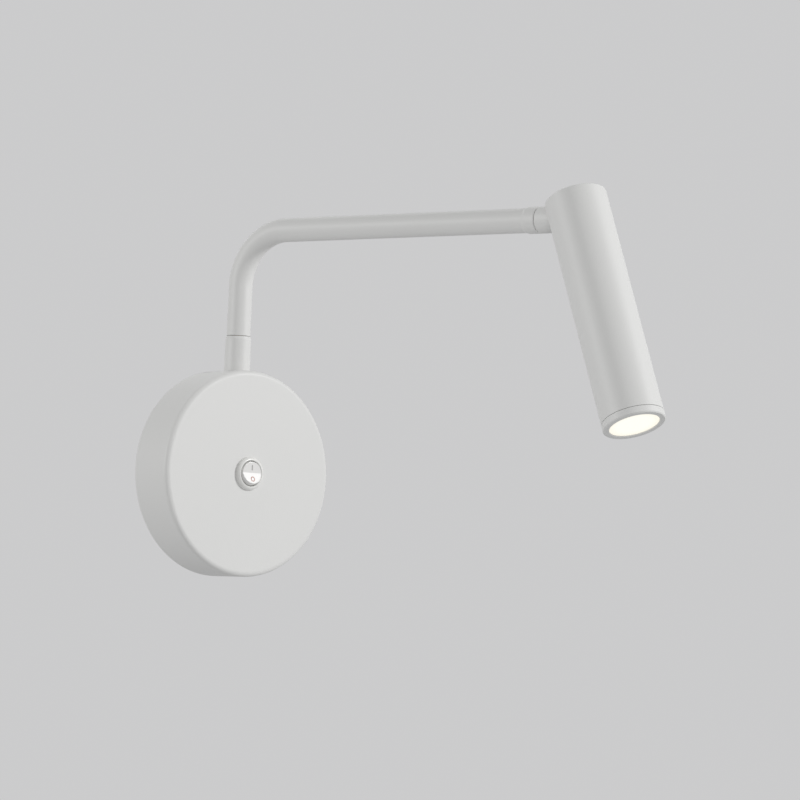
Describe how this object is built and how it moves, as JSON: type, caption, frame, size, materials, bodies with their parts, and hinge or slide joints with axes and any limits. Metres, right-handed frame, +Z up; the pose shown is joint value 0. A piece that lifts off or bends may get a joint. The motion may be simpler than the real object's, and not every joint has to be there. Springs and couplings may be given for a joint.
{
  "type": "bedside wall reading lamp",
  "caption": "Wall-mounted reading light with a round switched base, a bent swivelling arm and a tube-shaped LED spot head that rolls and tilts.",
  "frame": {"origin": "the point of the wall plane on the axis of the round base, midway between the two wall-screw slots", "axes": "+X runs along the wall to the right as seen from the room, +Y points into the wall, +Z is up"},
  "size_m": [0.1124, 0.2707, 0.191],
  "materials": {
    "white_coat": "fine matte white powder coat",
    "yoke_coat": "fine matte white powder coat",
    "zinc_steel": "bright zinc plate",
    "screw_steel": "bright zinc plate",
    "spring_steel": "bare spring steel",
    "turned_brass": "turned",
    "brass": "turned",
    "tinned_brass": "tin plate",
    "raw_aluminium": "machined",
    "switch_white": "satin moulded",
    "rocker_white": "satin moulded",
    "block_plastic": "moulded",
    "driver_plastic": "moulded",
    "bright_reflector": "bright metallised",
    "pad_foam": "closed-cell foam",
    "board_white": "white solder mask",
    "nylon": "nylon",
    "phosphor": "phosphor",
    "frosted_lens": "frosted, lit from behind",
    "cable_sheath": "sheathed twin lead",
    "lead_blue": "insulated lead",
    "lead_brown": "insulated lead"
  },
  "bodies": {
    "base": {"wall_bracket": "zinc_steel", "base_cup": "white_coat", "base_set_screw": "screw_steel", "post_collar": "white_coat", "post_washer": "zinc_steel", "post_nut": "zinc_steel", "switch_body": "switch_white", "switch_terminals": "tinned_brass", "driver_pad": "pad_foam", "driver_case": "driver_plastic", "driver_lid": "driver_plastic", "terminal_block": "block_plastic", "terminal_inserts": "brass", "neutral_lead": "lead_blue", "live_lead": "lead_brown", "switched_lead": "lead_brown", "led_cable_base": "cable_sheath"},
    "rocker": {"switch_rocker": "rocker_white"},
    "arm": {"arm_tube": "white_coat", "arm_spindle": "turned_brass", "swivel_washer": "spring_steel", "swivel_nut": "zinc_steel", "arm_end_sleeve": "white_coat", "led_cable_arm": "cable_sheath"},
    "joint": {"joint_barrel": "white_coat", "roll_washer": "spring_steel", "roll_nut": "turned_brass", "led_cable_joint": "cable_sheath"},
    "head": {"head_tube": "white_coat", "tilt_yoke": "yoke_coat", "tilt_pin": "screw_steel", "tilt_nut": "zinc_steel", "tilt_washers": "nylon", "yoke_screw": "screw_steel", "heat_sink": "raw_aluminium", "led_board": "board_white", "led_emitter": "phosphor", "reflector": "bright_reflector", "lens": "frosted_lens", "trim_ring": "white_coat", "led_cable_head": "cable_sheath"}
  },
  "joints": [
    {"name": "arm_swing", "type": "hinge", "parent": "base", "child": "arm", "pos_m": [0, -0.0125, 0], "axis": [0, 0, 1], "range_deg": [-97.7, 72.3]},
    {"name": "head_roll", "type": "hinge", "parent": "arm", "child": "joint", "pos_m": [0.04507, -0.21249, 0.123], "axis": [0.2198, -0.9755, 0], "range_deg": [-167.6, 182.4]},
    {"name": "head_tilt", "type": "hinge", "parent": "joint", "child": "head", "pos_m": [0.04507, -0.21249, 0.123], "axis": [0.9674, 0.218, -0.1288], "range_deg": [-66.8, 23.2]},
    {"name": "switch_rock", "type": "hinge", "parent": "base", "child": "rocker", "pos_m": [0, -0.0266, 0], "axis": [1, 0, 0], "range_deg": [0, 16]}
  ]
}
